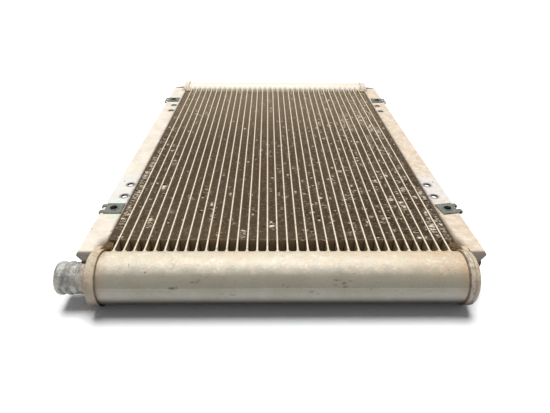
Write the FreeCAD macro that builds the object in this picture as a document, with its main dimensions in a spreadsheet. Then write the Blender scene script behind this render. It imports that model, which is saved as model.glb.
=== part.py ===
"""Hydraulic oil cooler: a brazed tube-and-fin core between two round header tanks.

Frame: millimetres, +Z up with the cooler lying flat. The origin is the centre of the core in
plan, in the top plane of the two mounting flanges. X runs across the core along the header
tanks. Y runs along the flat tubes, from the inlet tank (-Y) to the outlet tank (+Y).
"""

import FreeCAD, Part
import math
import os
import Sketcher
from FreeCAD import Placement, Rotation, Vector
from types import SimpleNamespace

# Driving sizes in millimetres and degrees. The cooler is 34 tubes wide.
SIZES = {
    "cut_over": 1.0,
    "tube_pitch": 10.5,
    "tube_thick": 2.2,
    "tube_depth": 42.0,
    "tube_half_length": 285.0,
    "port_width": 1.5,
    "port_height": 4.4,
    "port_step": 4.9,
    "fin_half_length": 260.0,
    "fin_recess": 1.0,
    "tank_axis_y": 296.0,
    "tank_radius": 26.5,
    "tank_bore": 24.25,
    "tank_end_left": 187.0,
    "tank_end_right": 189.5,
    "seam_angle": 15.6,
    "seam_radius": 0.9,
    "seam_inset": 0.55,
    "cap_radius": 28.5,
    "cap_start_left": 180.3,
    "cap_end_left": 190.4,
    "cap_start_right": 180.4,
    "cap_end_right": 193.6,
    "cap_rim_left": 1.0,
    "cap_rim_right": 6.0,
    "cap_groove": 0.7,
    "cap_weld": 1.2,
    "stub_radius": 16.0,
    "stub_bore": 13.5,
    "stub_ridge": 16.9,
    "stub_groove": 16.2,
    "stub_bead": 17.0,
    "stub_bead_round": 1.2,
    "stub_end": 225.0,
    "ridge_length": 5.0,
    "groove_length": 3.5,
    "bead_length": 6.5,
    "outlet_x": 150.0,
    "outlet_end": 55.0,
    "outlet_drop": 6.0,
    "plate_thick": 2.0,
    "plate_web": 182.65,
    "plate_web_end": 266.0,
    "flange_edge": 209.0,
    "flange_end": 274.4,
    "bend_outer": 3.0,
    "bend_inner": 1.0,
    "lip_edge": 196.0,
    "tab_end": 292.5,
    "tab_drop": 1.5,
    "tab_corner_x": 199.0,
    "tab_corner_y": 284.0,
    "tab_gap": 0.3,
    "weld_radius": 1.9,
    "weld_y": 290.6,
    "weld_top": 3.5,
    "weld_low": 11.0,
    "weld_low_inlet": 5.1,
    "weld_x": 199.8,
    "weld_round": 0.75,
    "clip_x": 198.0,
    "clip_y": 198.5,
    "clip_home_x": 195.8,
    "bolt_hole": 5.0,
    "side_hole_x": 192.0,
    "side_hole_near": 139.5,
    "side_hole_far": 168.5,
    "side_hole": 3.6,
    "notch_near": 240.0,
    "notch_far": 37.0,
    "notch_radius": 1.6,
    "vent_x": 202.0,
    "vent_front_y": 131.0,
    "vent_rear_y": 176.0,
    "vent_hole": 0.9,
    "clip_thick": 1.2,
    "clip_gap": 0.3,
    "clip_width": 21.0,
    "clip_tail": 10.6,
    "clip_fold": 14.4,
    "clip_fold_outer": 1.8,
    "clip_fold_inner": 0.6,
    "clip_shoulder": 9.5,
    "clip_arm_out": 8.4,
    "clip_arm_in": 4.2,
    "clip_clear": 4.5,
    "clip_rim": 5.7,
    "clip_rim_height": 0.5,
    "clip_thread": 3.4,
    "clip_barrel": 5.6,
    "clip_barrel_length": 5.0,
    "clip_turn": 11.0,
}
TUBE_COUNT = 34
PORTS_PER_TUBE = 8
SAME_PLACE = 0.01

doc = FreeCAD.newDocument("oil_cooler")
parts = []


def cos(degrees):
    return math.cos(math.radians(degrees))


def sin(degrees):
    return math.sin(math.radians(degrees))


class Size:
    """A size that keeps its number together with the sheet expression behind it."""

    def __init__(self, text, number):
        self.text = text
        self.number = number

    def __add__(self, other):
        other = as_size(other)
        return Size(f"({self.text} + {other.text})", self.number + other.number)

    def __sub__(self, other):
        other = as_size(other)
        return Size(f"({self.text} - {other.text})", self.number - other.number)

    def __mul__(self, factor):
        return Size(f"({self.text} * {factor})", self.number * factor)

    def __truediv__(self, divisor):
        return Size(f"({self.text} / {divisor})", self.number / divisor)

    def __neg__(self):
        return self * -1


def as_size(number):
    return number if isinstance(number, Size) else Size(str(number), float(number))


def make_sheet():
    """The sheet of sizes, and each size under its own name."""
    sheet = doc.addObject("Spreadsheet::Sheet", "Sizes")
    for row, (alias, number) in enumerate(SIZES.items(), start=1):
        sheet.set(f"A{row}", alias)
        sheet.set(f"B{row}", str(number))
        sheet.setAlias(f"B{row}", alias)
    doc.recompute()
    named = {alias: Size(f"Sizes.{alias}", number) for alias, number in SIZES.items()}
    return SimpleNamespace(**named)


S = make_sheet()
ZERO = as_size(0)
FULL_DEPTH = -S.tube_depth
TANK_Z = -S.tube_depth / 2


def new_body(name):
    body = doc.addObject("PartDesign::Body", name)
    body.Label = name
    return body


def keep(piece):
    """Marks a piece as one of the cooler's sub-parts."""
    parts.append(piece)
    return piece


def place(piece, x=ZERO, y=ZERO, z=ZERO):
    for axis, distance in zip("xyz", (x, y, z)):
        piece.setExpression(f"Placement.Base.{axis}", as_size(distance).text)


def new_sketch(body, role, name, offset=None, shift=None):
    """A sketch on one of the body's own origin planes, moved out from it or along it."""
    sketch = body.newObject("Sketcher::SketchObject", name)
    planes = body.Origin.OriginFeatures
    sketch.AttachmentSupport = [(next(p for p in planes if p.Role == role), "")]
    sketch.MapMode = "FlatFace"
    if offset is not None:
        sketch.setExpression("AttachmentOffset.Base.z", offset.text)
    if shift is not None:
        sketch.setExpression("AttachmentOffset.Base.x", shift.text)
    return sketch


def bind(sketch, kind, geometry, point, size, name):
    """Drives the distance from the sketch's origin to a point of its geometry."""
    constraint = Sketcher.Constraint(kind, -1, 1, geometry, point, size.number)
    sketch.renameConstraint(sketch.addConstraint(constraint), name)
    sketch.setExpression(f"Constraints.{name}", size.text)


def bind_point(sketch, geometry, point, a, b, name):
    bind(sketch, "DistanceX", geometry, point, as_size(a), f"{name}_x")
    bind(sketch, "DistanceY", geometry, point, as_size(b), f"{name}_y")


def outline(sketch, points, name="corner"):
    """A closed outline of straight lines through points given as pairs of sizes."""
    pairs = [(as_size(a), as_size(b)) for a, b in points]
    spots = [Vector(a.number, b.number, 0) for a, b in pairs]
    first = sketch.GeometryCount
    for start, end in zip(spots, spots[1:] + spots[:1]):
        sketch.addGeometry(Part.LineSegment(start, end), False)
    for i, (a, b) in enumerate(pairs):
        before = first + (i - 1) % len(pairs)
        sketch.addConstraint(Sketcher.Constraint("Coincident", before, 2, first + i, 1))
        bind_point(sketch, first + i, 1, a, b, f"{name}_{i}")


def box_outline(sketch, a0, b0, a1, b1, name="box"):
    outline(sketch, [(a0, b0), (a1, b0), (a1, b1), (a0, b1)], name)


def circle(sketch, a, b, radius, name):
    centre = Vector(as_size(a).number, as_size(b).number, 0)
    shape = Part.Circle(centre, Vector(0, 0, 1), radius.number)
    geometry = sketch.addGeometry(shape, False)
    bind_point(sketch, geometry, 3, a, b, name)
    constraint = Sketcher.Constraint("Radius", geometry, radius.number)
    sketch.renameConstraint(sketch.addConstraint(constraint), f"{name}_radius")
    sketch.setExpression(f"Constraints.{name}_radius", radius.text)


def slot(sketch, half_width, half_height):
    """A flat tube's section: straight sides joined by half-round ends."""
    w = half_width.number
    h = half_height.number - w
    sketch.addGeometry(Part.LineSegment(Vector(w, -h, 0), Vector(w, h, 0)), False)
    top = Part.Arc(Vector(w, h, 0), Vector(0, h + w, 0), Vector(-w, h, 0))
    sketch.addGeometry(top, False)
    sketch.addGeometry(Part.LineSegment(Vector(-w, h, 0), Vector(-w, -h, 0)), False)
    low = Part.Arc(Vector(-w, -h, 0), Vector(0, -h - w, 0), Vector(w, -h, 0))
    sketch.addGeometry(low, False)
    for line, arc in ((0, 1), (2, 3), (0, 3), (2, 1)):
        arc_end = 1 if (line, arc) in ((0, 1), (2, 3)) else 2
        line_end = 2 if (line, arc) in ((0, 1), (2, 3)) else 1
        sketch.addConstraint(Sketcher.Constraint("Tangent", line, line_end, arc, arc_end))
    sketch.addConstraint(Sketcher.Constraint("Vertical", 0))
    straight = half_height - half_width
    bind_point(sketch, 0, 2, half_width, straight, "right_top")
    bind(sketch, "DistanceY", 0, 1, -straight, "right_low")
    bind(sketch, "DistanceX", 2, 1, -half_width, "left")


def pad(body, sketch, length, name, midplane=False, reverse=False):
    feature = body.newObject("PartDesign::Pad", name)
    feature.Profile = sketch
    feature.setExpression("Length", length.text)
    feature.Midplane = midplane
    feature.Reversed = reverse
    doc.recompute()
    return feature


def pocket(body, sketch, name, length=None, midplane=False, reverse=False):
    """Cuts the sketch out of the body, right through it where no length is given."""
    before = body.Shape.Volume
    feature = body.newObject("PartDesign::Pocket", name)
    feature.Profile = sketch
    if length is None:
        feature.Type = "ThroughAll"
    else:
        feature.setExpression("Length", length.text)
    feature.Midplane = midplane
    feature.Reversed = reverse
    doc.recompute()
    if body.Shape.Volume >= before:
        raise ValueError(f"{name} cuts nothing from {body.Label}")
    return feature


def revolve(body, sketch, name, axis="H_Axis"):
    feature = body.newObject("PartDesign::Revolution", name)
    feature.Profile = sketch
    feature.ReferenceAxis = (sketch, [axis])
    feature.Angle = 360.0
    doc.recompute()
    return feature


def fillet(body, radius, wanted, name):
    """Rounds every edge of the body so far for which wanted(edge) holds."""
    base = body.Tip
    names = [f"Edge{i}" for i, e in enumerate(base.Shape.Edges, start=1) if wanted(e)]
    if not names:
        raise ValueError(f"{name} finds no edges on {body.Label}")
    feature = body.newObject("PartDesign::Fillet", name)
    feature.Base = (base, names)
    feature.setExpression("Radius", radius.text)
    doc.recompute()
    return feature


def clone(master, name):
    """A body that repeats another body's shape at a place of its own."""
    body = new_body(name)
    feature = doc.addObject("PartDesign::FeatureBase", f"{name}_base")
    body.Group = [feature]
    feature.BaseFeature = master
    body.Tip = feature
    doc.recompute()
    return body


def line_at(**spot):
    """Picks straight edges whose two ends both lie at the given coordinates."""
    def wanted(edge):
        ends = [v.Point for v in edge.Vertexes]
        return len(ends) == 2 and all(
            abs(getattr(p, axis) - size.number) < SAME_PLACE
            for p in ends
            for axis, size in spot.items()
        )
    return wanted


def ring_at(x, radius):
    """Picks round edges of that radius about the X axis, at that x."""
    def wanted(edge):
        curve = edge.Curve
        return (
            curve.TypeId == "Part::GeomCircle"
            and abs(curve.Radius - radius.number) < SAME_PLACE
            and abs(curve.Center.x - x.number) < SAME_PLACE
        )
    return wanted


def is_round(edge):
    return edge.Curve.TypeId == "Part::GeomCircle"


# --- Core ---------------------------------------------------------------------------------


def make_tubes():
    """Extruded flat tubes with a row of oil ports, side by side across the core."""
    pattern = new_body("tube_pattern")
    section = new_sketch(pattern, "XZ_Plane", "tube_section")
    slot(section, S.tube_thick / 2, S.tube_depth / 2)
    pad(pattern, section, S.tube_half_length * 2, "tube_extrusion", midplane=True)
    ports = new_sketch(pattern, "XZ_Plane", "tube_ports")
    half_width = S.port_width / 2
    for i in range(PORTS_PER_TUBE):
        middle = S.port_step * (i - (PORTS_PER_TUBE - 1) / 2)
        low = middle - S.port_height / 2
        high = middle + S.port_height / 2
        box_outline(ports, -half_width, low, half_width, high, f"port_{i}")
    pocket(pattern, ports, "oil_ports", (S.tube_half_length + S.cut_over) * 2, midplane=True)
    for i in range(TUBE_COUNT):
        tube = keep(clone(pattern, f"tube_{i + 1:02d}"))
        place(tube, S.tube_pitch * (i - (TUBE_COUNT - 1) / 2), ZERO, TANK_Z)


def make_fins():
    """The folded fin strips: one in each gap between tubes, and one beyond each end tube."""
    rows = []
    for i in range(TUBE_COUNT + 1):
        row = doc.addObject("Part::Box", f"fin_row_{i + 1:02d}")
        row.setExpression("Length", (S.tube_pitch - S.tube_thick).text)
        row.setExpression("Width", (S.fin_half_length * 2).text)
        row.setExpression("Height", (S.tube_depth - S.fin_recess * 2).text)
        left = S.tube_pitch * (i - (TUBE_COUNT + 1) / 2) + S.tube_thick / 2
        place(row, left, -S.fin_half_length, FULL_DEPTH + S.fin_recess)
        rows.append(row)
    fins = doc.addObject("Part::Compound", "fins")
    fins.Label = "fins"
    fins.Links = rows
    keep(fins)


# --- Header tanks ---------------------------------------------------------------------------


def make_tank(name, outlet):
    """A round tank along X, its tube slots on +Y and its die line on -Y.

    The two tanks face each other, so the one with the outlet is turned half round in place.
    """
    ends = (S.tank_end_left, S.tank_end_right)
    seam_ends = (S.cap_start_left, S.cap_start_right)
    if outlet:
        ends, seam_ends = ends[::-1], seam_ends[::-1]
    body = keep(new_body(name))
    wall = new_sketch(body, "XY_Plane", f"{name}_wall")
    box_outline(wall, -ends[0], S.tank_bore, ends[1], S.tank_radius)
    revolve(body, wall, f"{name}_tube")

    seam = new_sketch(body, "YZ_Plane", f"{name}_seam_section", -seam_ends[0])
    reach = S.tank_radius - S.seam_inset
    angle = S.seam_angle
    across = Size(f"(-{reach.text} * cos({angle.text}))", -reach.number * cos(angle.number))
    up = Size(f"({reach.text} * sin({angle.text}))", reach.number * sin(angle.number))
    circle(seam, across, up, S.seam_radius, "seam")
    pad(body, seam, seam_ends[0] + seam_ends[1], f"{name}_seam")

    span = S.tube_pitch * (TUBE_COUNT - 1)
    first = new_sketch(body, "XZ_Plane", f"{name}_slot_section", shift=-span / 2)
    slot(first, S.tube_thick / 2, S.tube_depth / 2)
    cut = pocket(body, first, f"{name}_first_slot", S.tank_radius + S.cut_over)
    pattern = body.newObject("PartDesign::LinearPattern", f"{name}_slots")
    pattern.Originals = [cut]
    pattern.Direction = (first, ["H_Axis"])
    pattern.setExpression("Length", span.text)
    pattern.Occurrences = TUBE_COUNT
    body.Tip = pattern
    doc.recompute()

    place(body, ZERO, -S.tank_axis_y, TANK_Z)
    if outlet:
        port = new_sketch(body, "XZ_Plane", f"{name}_outlet_section")
        circle(port, -S.outlet_x, -S.outlet_drop, S.stub_bore, "port")
        pocket(body, port, f"{name}_outlet_hole", S.tank_radius + S.cut_over, reverse=True)
        body.Placement = Placement(Vector(0, 0, 0), Rotation(Vector(0, 0, 1), 180))
        place(body, ZERO, S.tank_axis_y, TANK_Z)


def make_cap(name, side, tank_side, bored=False):
    """A cap over one end of a tank: flat on the left ends, domed on the right ends."""
    right = side > 0
    start = S.cap_start_right if right else S.cap_start_left
    end = S.cap_end_right if right else S.cap_end_left
    tank_end = S.tank_end_right if right else S.tank_end_left
    joint = -S.cap_weld if right else S.cap_groove
    hole = S.stub_bore if bored else ZERO
    body = keep(new_body(name))
    profile = new_sketch(body, "XY_Plane", f"{name}_profile")
    points = [
        (tank_end, hole),
        (end, hole),
        (end, S.cap_radius),
        (start, S.cap_radius),
        (start, S.tank_radius + (S.cap_weld if right else S.cap_groove)),
        (start + joint, S.tank_radius),
        (tank_end, S.tank_radius),
    ]
    outline(profile, [(a * side, b) for a, b in points])
    revolve(body, profile, f"{name}_cup")
    rim = S.cap_rim_right if right else S.cap_rim_left
    fillet(body, rim, ring_at(end * side, S.cap_radius), f"{name}_rim")
    place(body, ZERO, S.tank_axis_y * tank_side, TANK_Z)


def make_stub(name, start, end, turn):
    """A hose stub along its own X axis: plain pipe, ridge, groove and end bead."""
    bead = end - S.bead_length
    groove = bead - S.groove_length
    ridge = groove - S.ridge_length
    body = keep(new_body(name))
    profile = new_sketch(body, "XY_Plane", f"{name}_profile")
    steps = [
        (start, S.stub_bore),
        (end, S.stub_bore),
        (end, S.stub_bead),
        (bead, S.stub_bead),
        (bead, S.stub_groove),
        (groove, S.stub_groove),
        (groove, S.stub_ridge),
        (ridge, S.stub_ridge),
        (ridge, S.stub_radius),
        (start, S.stub_radius),
    ]
    outline(profile, steps)
    revolve(body, profile, f"{name}_pipe")
    for x, tag in ((end, "outer"), (bead, "inner")):
        fillet(body, S.stub_bead_round / 2, ring_at(x, S.stub_bead), f"{name}_{tag}_round")
    body.Placement = Placement(Vector(0, 0, 0), Rotation(Vector(0, 0, 1), turn))
    return body


def make_stubs():
    inlet = make_stub("inlet_stub", S.cap_end_left, S.stub_end, 180)
    place(inlet, ZERO, -S.tank_axis_y, TANK_Z)
    outlet = make_stub("outlet_stub", S.stub_bore, S.outlet_end, 90)
    saddle = new_sketch(outlet, "XZ_Plane", "outlet_saddle_section")
    circle(saddle, 0, S.outlet_drop, S.tank_radius, "tank")
    pocket(outlet, saddle, "outlet_saddle", S.stub_bead * 2, midplane=True)
    place(outlet, S.outlet_x, S.tank_axis_y, TANK_Z - S.outlet_drop)


# --- Side plates ----------------------------------------------------------------------------


def make_side_plate(name, side):
    """A folded channel beside the core: top mounting flange, web and a narrow lower lip."""
    cap_face = S.cap_end_right if side > 0 else S.cap_end_left
    web = S.plate_web
    inner = web + S.plate_thick
    under = -S.plate_thick
    body = keep(new_body(name))
    section = new_sketch(body, "XZ_Plane", f"{name}_section")
    channel = [
        (web, ZERO),
        (S.flange_edge, ZERO),
        (S.flange_edge, under),
        (inner, under),
        (inner, FULL_DEPTH + S.plate_thick),
        (S.lip_edge, FULL_DEPTH + S.plate_thick),
        (S.lip_edge, FULL_DEPTH),
        (web, FULL_DEPTH),
    ]
    outline(section, [(a * side, b) for a, b in channel])
    pad(body, section, S.flange_end * 2, f"{name}_channel", midplane=True)
    edges = ((web, ZERO, S.bend_outer), (web, FULL_DEPTH, S.bend_outer))
    edges += ((inner, under, S.bend_inner), (inner, FULL_DEPTH + S.plate_thick, S.bend_inner))
    for i, (x, z, radius) in enumerate(edges):
        fillet(body, radius, line_at(x=x * side, z=z), f"{name}_bend_{i + 1}")

    # The web stops short of the tanks, and only the flange runs on to them.
    ends = new_sketch(body, "YZ_Plane", f"{name}_web_ends")
    for y in (-1, 1):
        near = S.plate_web_end * y
        far = (S.flange_end + S.cut_over) * y
        box_outline(ends, near, FULL_DEPTH - S.cut_over, far, -S.bend_outer, f"end_{y + 1}")
    pocket(body, ends, f"{name}_web_cut", S.flange_edge * 2, midplane=True)

    # A tab at each end of the flange passes the cap and is bent a little downwards.
    tabs = new_sketch(body, "YZ_Plane", f"{name}_tab_section", (cap_face + S.tab_gap) * side)
    for y in (-1, 1):
        corners = [
            (S.flange_end, ZERO),
            (S.tab_end, -S.tab_drop),
            (S.tab_end, under - S.tab_drop),
            (S.flange_end, under),
        ]
        outline(tabs, [(a * y, b) for a, b in corners], f"tab_{y + 1}")
    width = S.flange_edge - cap_face - S.tab_gap
    pad(body, tabs, width, f"{name}_tabs", reverse=side < 0)

    # The corners, the holes and the notches are cut from above. One clip sits further in.
    plan = new_sketch(body, "XY_Plane", f"{name}_plan")
    past_edge = S.flange_edge + S.cut_over
    past_end = S.tab_end + S.cut_over
    for y in (-1, 1):
        corner = [
            (S.tab_corner_x, S.tab_end),
            (S.flange_edge, S.tab_corner_y),
            (past_edge, S.tab_corner_y),
            (past_edge, past_end),
            (S.tab_corner_x, past_end),
        ]
        outline(plan, [(a * side, b * y) for a, b in corner], f"corner_{y + 1}")
        bolt_x = S.clip_home_x if side < 0 and y < 0 else S.clip_x
        circle(plan, bolt_x * side, S.clip_y * y, S.bolt_hole, f"bolt_{y + 1}")
        for i, hole_y in enumerate((S.side_hole_near, S.side_hole_far)):
            circle(plan, S.side_hole_x * side, hole_y * y, S.side_hole, f"hole_{i}_{y + 1}")
    for i, y in enumerate((-S.notch_near, S.notch_far)):
        circle(plan, S.flange_edge * side, y, S.notch_radius, f"notch_{i}")
    for i, y in enumerate((-S.vent_front_y, S.vent_rear_y)):
        circle(plan, S.vent_x * side, y, S.vent_hole, f"vent_{i}")
    pocket(body, plan, f"{name}_plan_cut", S.plate_thick + S.tab_drop + S.cut_over)


def make_tab_welds():
    """Blobs of weld that hang under the end tabs, beside the caps."""
    spots = {
        "front_left": (-1, -1, S.weld_low_inlet),
        "front_right": (1, -1, S.weld_low),
        "rear_left": (-1, 1, S.weld_low),
        "rear_right": (1, 1, S.weld_low),
    }
    for corner, (x, y, low) in spots.items():
        name = f"tab_weld_{corner}"
        body = keep(new_body(name))
        profile = new_sketch(body, "XZ_Plane", f"{name}_profile")
        box_outline(profile, ZERO, -low, S.weld_radius, -S.weld_top)
        revolve(body, profile, f"{name}_bead", axis="V_Axis")
        fillet(body, S.weld_round, is_round, f"{name}_round")
        place(body, S.weld_x * x, S.weld_y * y, ZERO)


# --- Clip nuts ------------------------------------------------------------------------------


def make_clip_nuts():
    """Spring clip nuts: a folded strip over the flange's edge, threaded in its lower leg."""
    pattern = new_body("clip_pattern")
    section = new_sketch(pattern, "XZ_Plane", "clip_section")
    top = S.clip_gap + S.clip_thick
    low_in = -S.plate_thick - S.clip_gap
    low = low_in - S.clip_thick
    fold = S.clip_fold + S.clip_thick
    strip = [
        (-S.clip_tail, S.clip_gap),
        (S.clip_fold, S.clip_gap),
        (S.clip_fold, low_in),
        (-S.clip_tail, low_in),
        (-S.clip_tail, low),
        (fold, low),
        (fold, top),
        (-S.clip_tail, top),
    ]
    outline(section, strip)
    pad(pattern, section, S.clip_width, "clip_strip", midplane=True)
    bends = ((fold, top, S.clip_fold_outer), (fold, low, S.clip_fold_outer))
    bends += ((S.clip_fold, S.clip_gap, S.clip_fold_inner),)
    bends += ((S.clip_fold, low_in, S.clip_fold_inner),)
    for i, (x, z, radius) in enumerate(bends):
        fillet(pattern, radius, line_at(x=x, z=z), f"clip_bend_{i + 1}")

    # Two narrow arms carry the fold, with a window between them.
    arms = new_sketch(pattern, "XY_Plane", "clip_arms")
    half = S.clip_width / 2
    past_fold = fold + S.cut_over
    box_outline(arms, S.clip_shoulder, -S.clip_arm_in, past_fold, S.clip_arm_in, "window")
    for y in (-1, 1):
        outer = (half + S.cut_over) * y
        box_outline(arms, S.clip_shoulder, S.clip_arm_out * y, past_fold, outer, f"side_{y + 1}")
    pocket(pattern, arms, "clip_cutouts", S.clip_width, midplane=True)

    rim = new_sketch(pattern, "XY_Plane", "clip_rim_section", top)
    circle(rim, 0, 0, S.clip_rim, "rim")
    pad(pattern, rim, S.clip_rim_height, "clip_rim_pad")
    rim_top = top + S.clip_rim_height
    clear = new_sketch(pattern, "XY_Plane", "clip_clear_section")
    circle(clear, 0, 0, S.clip_clear, "clear")
    pocket(pattern, clear, "clip_clear_hole", rim_top + S.cut_over, reverse=True)
    barrel = new_sketch(pattern, "XY_Plane", "clip_barrel_section", low)
    circle(barrel, 0, 0, S.clip_barrel, "barrel")
    pad(pattern, barrel, S.clip_barrel_length, "clip_barrel_pad", reverse=True)
    thread = new_sketch(pattern, "XY_Plane", "clip_thread_section")
    circle(thread, 0, 0, S.clip_thread, "thread")
    pocket(pattern, thread, "clip_thread_hole", S.clip_barrel_length - low + S.cut_over)

    # One clip is pushed fully home on its flange, and one sits turned a little.
    spots = {
        "front_left": (-S.clip_home_x, -S.clip_y, as_size(180)),
        "front_right": (S.clip_x, -S.clip_y, S.clip_turn),
        "rear_left": (-S.clip_x, S.clip_y, as_size(180)),
        "rear_right": (S.clip_x, S.clip_y, ZERO),
    }
    for corner, (x, y, turn) in spots.items():
        clip = keep(clone(pattern, f"clip_nut_{corner}"))
        clip.Placement = Placement(Vector(0, 0, 0), Rotation(Vector(0, 0, 1), turn.number))
        clip.setExpression("Placement.Rotation.Angle", turn.text)
        place(clip, x, y, ZERO)


def export():
    """Checks every object, then writes each sub-part to its own file."""
    doc.recompute()
    for item in doc.Objects:
        if {"Invalid", "Error"} & set(item.State):
            raise ValueError(f"{item.Label} did not recompute: {item.State}")
        shape = getattr(item, "Shape", None)
        if item in parts and (shape is None or shape.isNull() or not shape.isValid()):
            raise ValueError(f"{item.Label} has no valid shape")
    os.makedirs("parts", exist_ok=True)
    for item in parts:
        item.Shape.exportStep(f"parts/{item.Label}.step")


make_tubes()
make_fins()
make_tank("front_tank", outlet=False)
make_tank("rear_tank", outlet=True)
make_cap("front_cap_left", -1, -1, bored=True)
make_cap("front_cap_right", 1, -1)
make_cap("rear_cap_left", -1, 1)
make_cap("rear_cap_right", 1, 1)
make_stubs()
make_side_plate("side_plate_left", -1)
make_side_plate("side_plate_right", 1)
make_tab_welds()
make_clip_nuts()
export()
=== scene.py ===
"""Hydraulic oil cooler: folded fins, braze, welds, cast stubs, packed dirt, and finishes."""

import math

import bmesh
import bpy
import numpy as np
from bpy.props import FloatProperty, FloatVectorProperty, IntProperty, PointerProperty
from mathutils import Matrix, Vector, noise


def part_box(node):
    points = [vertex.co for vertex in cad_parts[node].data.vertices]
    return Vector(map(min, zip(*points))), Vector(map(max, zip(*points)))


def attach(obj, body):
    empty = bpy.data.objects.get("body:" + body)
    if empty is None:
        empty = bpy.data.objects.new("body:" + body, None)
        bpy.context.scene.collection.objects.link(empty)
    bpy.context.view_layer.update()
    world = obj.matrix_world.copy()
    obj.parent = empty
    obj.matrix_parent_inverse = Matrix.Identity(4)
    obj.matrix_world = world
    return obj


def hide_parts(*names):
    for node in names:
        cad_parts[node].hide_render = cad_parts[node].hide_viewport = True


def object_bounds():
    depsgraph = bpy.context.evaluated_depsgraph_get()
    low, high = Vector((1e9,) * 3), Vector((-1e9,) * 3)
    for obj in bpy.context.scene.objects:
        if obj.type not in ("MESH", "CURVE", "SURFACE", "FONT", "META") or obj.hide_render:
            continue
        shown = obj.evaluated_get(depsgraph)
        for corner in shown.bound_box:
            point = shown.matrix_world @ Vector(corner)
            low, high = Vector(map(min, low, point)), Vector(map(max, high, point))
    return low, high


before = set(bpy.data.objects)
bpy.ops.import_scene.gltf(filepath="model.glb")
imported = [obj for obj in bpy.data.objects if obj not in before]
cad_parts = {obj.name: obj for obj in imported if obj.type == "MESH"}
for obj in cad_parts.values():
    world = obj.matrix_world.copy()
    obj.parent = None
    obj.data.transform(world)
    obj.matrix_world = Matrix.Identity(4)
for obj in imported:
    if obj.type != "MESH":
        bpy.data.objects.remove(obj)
CAD_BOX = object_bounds()

bl_info = {
    "name": "Hydraulic oil cooler",
    "version": (1, 0, 0),
    "blender": (4, 5, 0),
    "location": "3D View > Sidebar > Oil cooler",
    "description": "Makes the folded fins, braze, welds, cast stubs and packed dirt of a"
    " hydraulic oil cooler, and gives each piece its finish",
    "category": "Object",
}

MM = 0.001
BODY = "cooler"
TUBES = sorted(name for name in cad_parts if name.startswith("tube_"))
CLIPS = sorted(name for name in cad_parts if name.startswith("clip_nut_"))


def middle_of(node):
    low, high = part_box(node)
    return (Vector(low) + Vector(high)) / 2


FRONT_AXIS = middle_of("front_tank")
TANK_RADIUS = 26.5 * MM
FIN_PIECES = 5
# How far below their top the fins' upper edges reach, and how far a dent leans them over.
FIN_EDGE = 0.5 * MM
FIN_LEAN = 1.6 * MM
# The gap between fins and tubes, the length of a fold's crest, and the height of the part
# of a fold that a dent can bend.
FIN_GAP = 0.05 * MM
FOLD_CREST = 0.45 * MM
FOLD_BEND = 3 * MM
# How far a braze fillet stands off its tube, and how far its foot sinks into the tank.
BRAZE_LIFT = 0.03 * MM
BRAZE_SINK = 0.25 * MM
# The lumps on a cap away from its bead, and the most that a lump on a stub stands out.
CAP_SKIN = 0.16 * MM
CAST_PROUD = 0.1 * MM
# The two mounting holes at each end of each flange: x and y without their signs, in mm.
FLANGE_HOLES = ((192, 139.5), (192, 168.5))
# The reach, in mm, of a patch that runs right through the cooler along an axis.
ENDLESS = 1e5
# Packed dirt in the corners: what it is, and its box at the rear right, in mm.
DIRT_LUMPS = (
    ("dusty", Vector((181.6, 270.6, -4.2)), Vector((193.4, 281.5, 1.0))),
    ("oily", Vector((175.2, 262.0, -9.0)), Vector((187.5, 276.5, 0.4))),
)
# The camera: where it is, which way it points in degrees, and its lens and sensor in mm.
CAMERA_PLACE = (-0.0154, -0.6386, 0.2767)
CAMERA_PITCH, CAMERA_YAW, CAMERA_ROLL = 31.830, 1.111, 0.636
CAMERA_LENS, CAMERA_SENSOR = 28.81, 36.0
# The floor's edges in metres: left, near, right and far.
FLOOR = (-8, -8, 8, 12)

# Dents in the fins' upper edges: middle x and y, reach in x and y, all in mm, and how deep.
DENTS = [
    (178.5, -159, 3.5, 16, 0.9), (173, -206, 5, 13, 0.8), (170, -237, 5, 16, 0.9),
    (180.5, -229, 3.5, 22, 1.0), (181, -252, 4, 9, 1.0), (149, -250, 5, 9, 0.7),
    (149, -190, 5, 10, 0.5), (158.5, -148.5, 4, 6, 1.0), (84, -164, 5, 12, 0.5),
    (150, 97, 9, 26, 0.7), (160, 60, 9, 18, 0.7), (166, 38, 7, 15, 0.7),
    (147, 9, 8, 22, 0.4), (162, -29, 8, 20, 0.4), (172, -79, 7, 20, 0.5),
    (-179, -87, 5, 40, 0.8), (-179, -150, 5, 40, 0.6), (-179, -210, 5, 26, 0.7),
    (-148.4, -144, 5, 9, 0.8), (-147.3, -72, 5, 9, 0.7), (-148, -225, 5, 12, 0.5),
    (-10.6, -231, 4, 9, 0.7), (-42.5, -247, 4, 9, 0.6), (31, -159, 4, 6, 0.6),
    (49, -171, 4, 6, 0.7), (52, -190, 4, 5, 0.6), (31, -183, 4, 5, 0.5),
    (120, 107, 9, 26, 0.5), (127, 64, 9, 20, 0.4), (165, 138, 9, 26, 0.4),
]
# Bright knocks, where bare foil is folded flat: middle x and y and reach, in mm.
KNOCKS = [
    (-127.6, -203, 3.6), (-42.5, -242.3, 2.4), (-42.6, -251.7, 2.2), (-1.2, -210, 2.0),
    (-107, -174, 2.2), (158.4, -149, 3.2), (-10.6, -230.6, 2.0), (49.2, -171.3, 1.6),
    (178.6, -158.6, 3.0), (149.3, -253.6, 3.0), (173, -205.5, 2.6), (170, -236, 3.0),
]
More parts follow.
